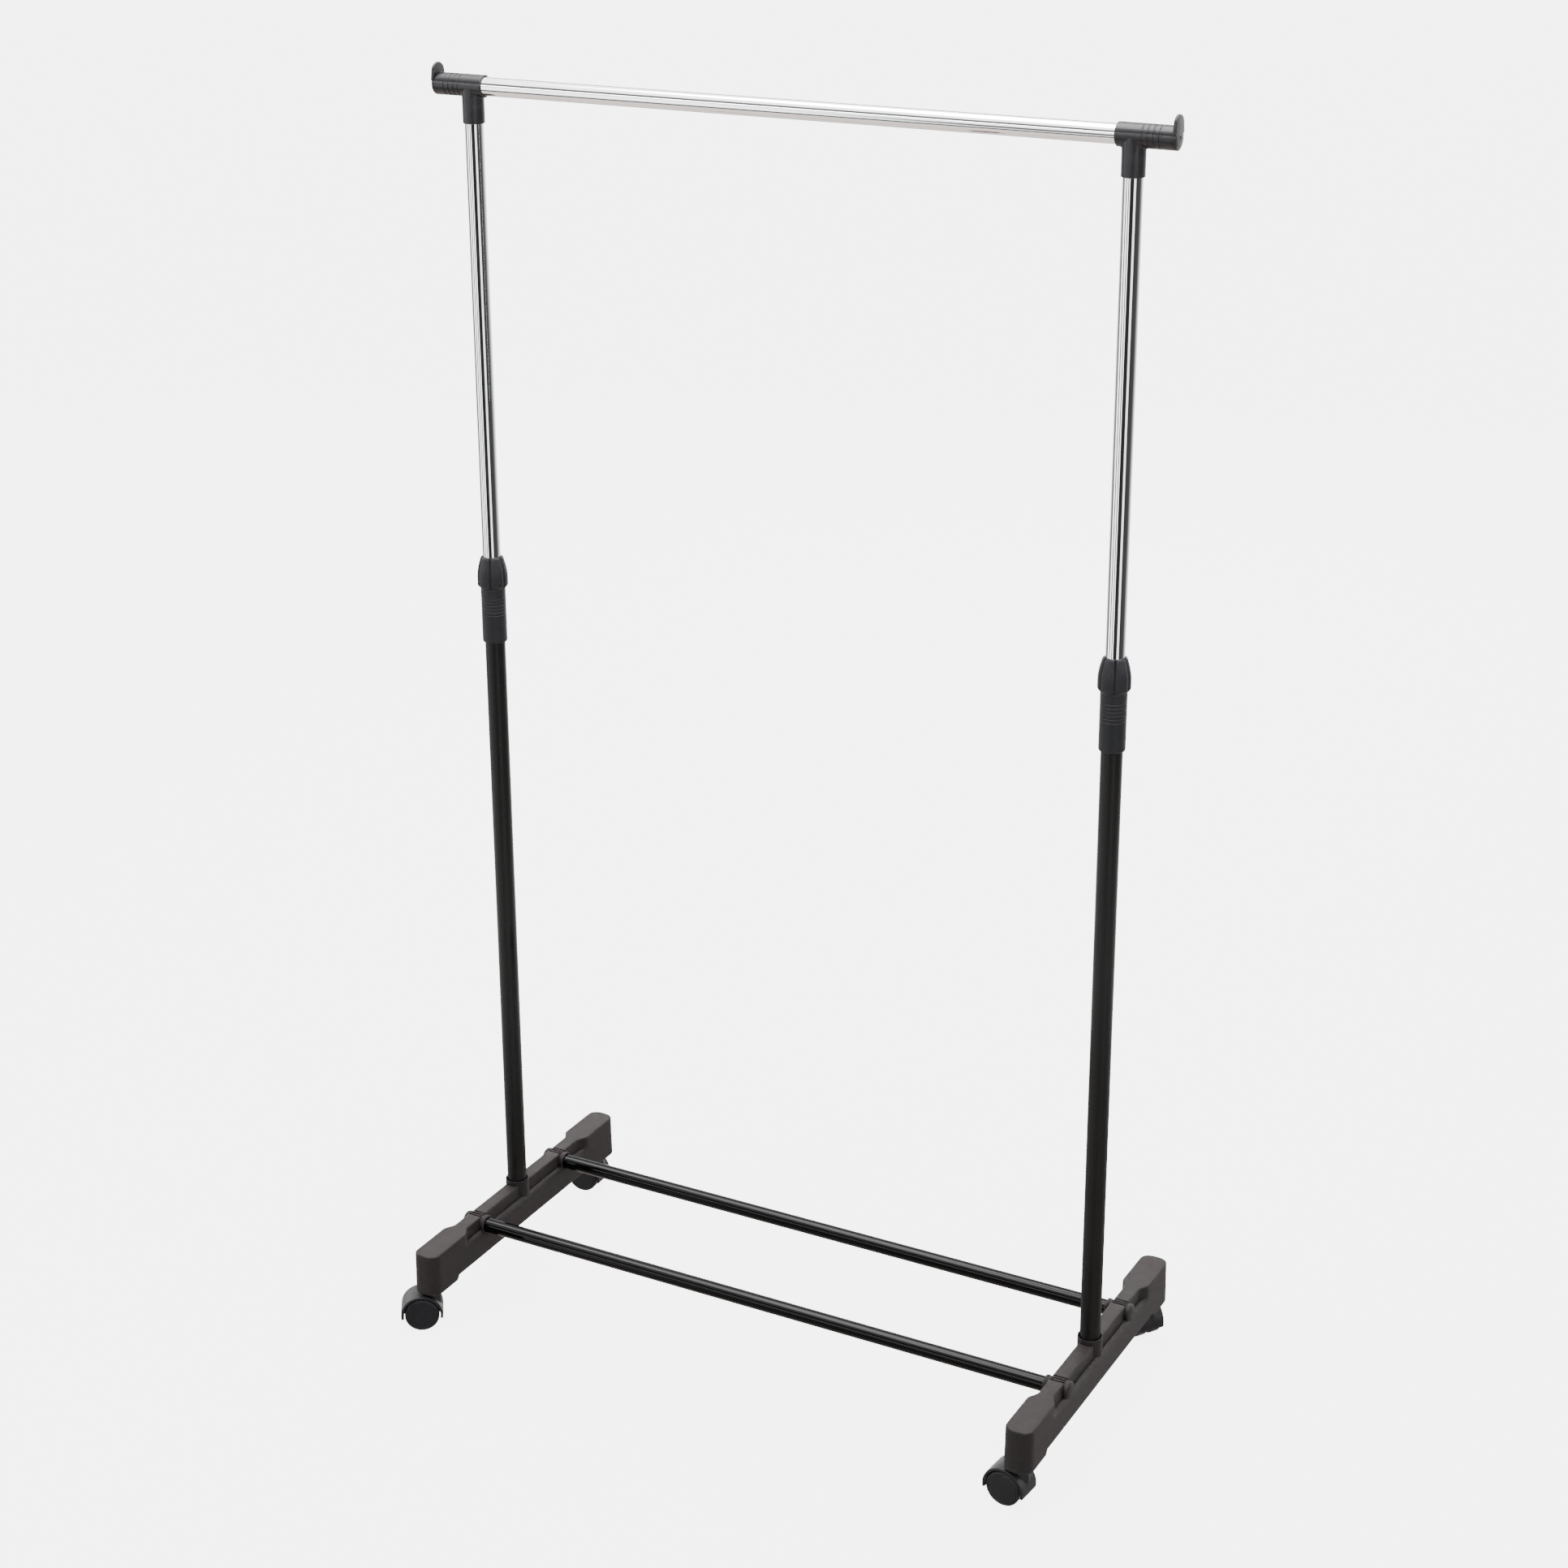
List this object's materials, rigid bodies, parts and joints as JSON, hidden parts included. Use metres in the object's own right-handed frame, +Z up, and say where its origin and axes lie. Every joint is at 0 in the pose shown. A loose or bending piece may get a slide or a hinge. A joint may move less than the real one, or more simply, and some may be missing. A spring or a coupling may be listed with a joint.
{
  "type": "rolling clothes rack",
  "caption": "Adjustable rolling clothes rack with one hanging rail on telescoping posts, twist locks, moulded feet, bottom rails and hooded casters.",
  "frame": {"origin": "centre of the footprint, on the floor", "axes": "+X to the right along the hanging rail, +Y from front to back, +Z up"},
  "size_m": [0.921, 0.4726, 1.572],
  "materials": {
    "chrome_tube": "polished chrome plate on thin steel tube",
    "fitting_plastic": "satin black moulded plastic",
    "cap_plastic": "satin black moulded plastic",
    "lock_plastic": "fine-grained charcoal moulded plastic",
    "natural_nylon": "natural nylon",
    "post_paint": "semi-gloss black paint on steel tube",
    "rail_paint": "gloss black paint on steel tube",
    "foot_plastic": "fine-grained charcoal moulded plastic",
    "caster_plastic": "satin black moulded plastic",
    "wheel_plastic": "satin black moulded nylon",
    "zinc_steel": "bright zinc-plated steel"
  },
  "bodies": {
    "base_frame": {"left_lock_collet": "natural_nylon", "right_lock_collet": "natural_nylon", "left_lock_sleeve": "lock_plastic", "right_lock_sleeve": "lock_plastic", "left_lower_post": "post_paint", "right_lower_post": "post_paint", "left_post_plug": "zinc_steel", "right_post_plug": "zinc_steel", "left_post_washer": "zinc_steel", "right_post_washer": "zinc_steel", "left_post_bolt": "zinc_steel", "right_post_bolt": "zinc_steel", "left_foot": "foot_plastic", "right_foot": "foot_plastic", "front_bottom_rail": "rail_paint", "back_bottom_rail": "rail_paint", "left_rail_screws": "zinc_steel", "right_rail_screws": "zinc_steel", "front_left_caster_socket": "caster_plastic", "front_right_caster_socket": "caster_plastic", "back_left_caster_socket": "caster_plastic", "back_right_caster_socket": "caster_plastic"},
    "hanging_frame": {"top_rail": "chrome_tube", "left_tee": "fitting_plastic", "right_tee": "fitting_plastic", "left_rail_cap": "cap_plastic", "right_rail_cap": "cap_plastic", "left_upper_post": "chrome_tube", "right_upper_post": "chrome_tube", "left_post_glide": "natural_nylon", "right_post_glide": "natural_nylon"},
    "left_nut": {"left_lock_nut": "lock_plastic"},
    "right_nut": {"right_lock_nut": "lock_plastic"},
    "front_left_caster": {"front_left_caster_stem": "zinc_steel", "front_left_caster_hood": "caster_plastic", "front_left_axle": "zinc_steel"},
    "front_left_inner_wheel": {"front_left_inner_wheel": "wheel_plastic"},
    "front_left_outer_wheel": {"front_left_outer_wheel": "wheel_plastic"},
    "front_right_caster": {"front_right_caster_stem": "zinc_steel", "front_right_caster_hood": "caster_plastic", "front_right_axle": "zinc_steel"},
    "front_right_inner_wheel": {"front_right_inner_wheel": "wheel_plastic"},
    "front_right_outer_wheel": {"front_right_outer_wheel": "wheel_plastic"},
    "back_left_caster": {"back_left_caster_stem": "zinc_steel", "back_left_caster_hood": "caster_plastic", "back_left_axle": "zinc_steel"},
    "back_left_inner_wheel": {"back_left_inner_wheel": "wheel_plastic"},
    "back_left_outer_wheel": {"back_left_outer_wheel": "wheel_plastic"},
    "back_right_caster": {"back_right_caster_stem": "zinc_steel", "back_right_caster_hood": "caster_plastic", "back_right_axle": "zinc_steel"},
    "back_right_inner_wheel": {"back_right_inner_wheel": "wheel_plastic"},
    "back_right_outer_wheel": {"back_right_outer_wheel": "wheel_plastic"}
  },
  "joints": [
    {"name": "height_slide", "type": "slide", "parent": "base_frame", "child": "hanging_frame", "axis": [0, 0, 1], "range_m": [-0.52, 0.04]},
    {"name": "left_nut_twist", "type": "hinge", "parent": "base_frame", "child": "left_nut", "pos_m": [-0.41, 0, 0.956], "axis": [0, 0, 1], "range_deg": [0, 180]},
    {"name": "right_nut_twist", "type": "hinge", "parent": "base_frame", "child": "right_nut", "pos_m": [0.41, 0, 0.956], "axis": [0, 0, 1], "range_deg": [0, 180]},
    {"name": "front_left_swivel", "type": "hinge", "parent": "base_frame", "child": "front_left_caster", "pos_m": [-0.41, -0.198, 0.05], "axis": [0, 0, 1], "continuous": true},
    {"name": "front_left_inner_roll", "type": "hinge", "parent": "front_left_caster", "child": "front_left_inner_wheel", "pos_m": [-0.42327, -0.20695, 0.022], "axis": [0.5592, -0.829, 0], "continuous": true},
    {"name": "front_left_outer_roll", "type": "hinge", "parent": "front_left_caster", "child": "front_left_outer_wheel", "pos_m": [-0.42327, -0.20695, 0.022], "axis": [0.5592, -0.829, 0], "continuous": true},
    {"name": "front_right_swivel", "type": "hinge", "parent": "base_frame", "child": "front_right_caster", "pos_m": [0.41, -0.198, 0.05], "axis": [0, 0, 1], "continuous": true},
    {"name": "front_right_inner_roll", "type": "hinge", "parent": "front_right_caster", "child": "front_right_inner_wheel", "pos_m": [0.39406, -0.19661, 0.022], "axis": [-0.0872, -0.9962, 0], "continuous": true},
    {"name": "front_right_outer_roll", "type": "hinge", "parent": "front_right_caster", "child": "front_right_outer_wheel", "pos_m": [0.39406, -0.19661, 0.022], "axis": [-0.0872, -0.9962, 0], "continuous": true},
    {"name": "back_left_swivel", "type": "hinge", "parent": "base_frame", "child": "back_left_caster", "pos_m": [-0.41, 0.198, 0.05], "axis": [0, 0, 1], "continuous": true},
    {"name": "back_left_inner_roll", "type": "hinge", "parent": "back_left_caster", "child": "back_left_inner_wheel", "pos_m": [-0.42596, 0.19688, 0.022], "axis": [0.0698, -0.9976, 0], "continuous": true},
    {"name": "back_left_outer_roll", "type": "hinge", "parent": "back_left_caster", "child": "back_left_outer_wheel", "pos_m": [-0.42596, 0.19688, 0.022], "axis": [0.0698, -0.9976, 0], "continuous": true},
    {"name": "back_right_swivel", "type": "hinge", "parent": "base_frame", "child": "back_right_caster", "pos_m": [0.41, 0.198, 0.05], "axis": [0, 0, 1], "continuous": true},
    {"name": "back_right_inner_roll", "type": "hinge", "parent": "back_right_caster", "child": "back_right_inner_wheel", "pos_m": [0.39674, 0.20695, 0.022], "axis": [-0.5592, -0.829, 0], "continuous": true},
    {"name": "back_right_outer_roll", "type": "hinge", "parent": "back_right_caster", "child": "back_right_outer_wheel", "pos_m": [0.39674, 0.20695, 0.022], "axis": [-0.5592, -0.829, 0], "continuous": true}
  ]
}
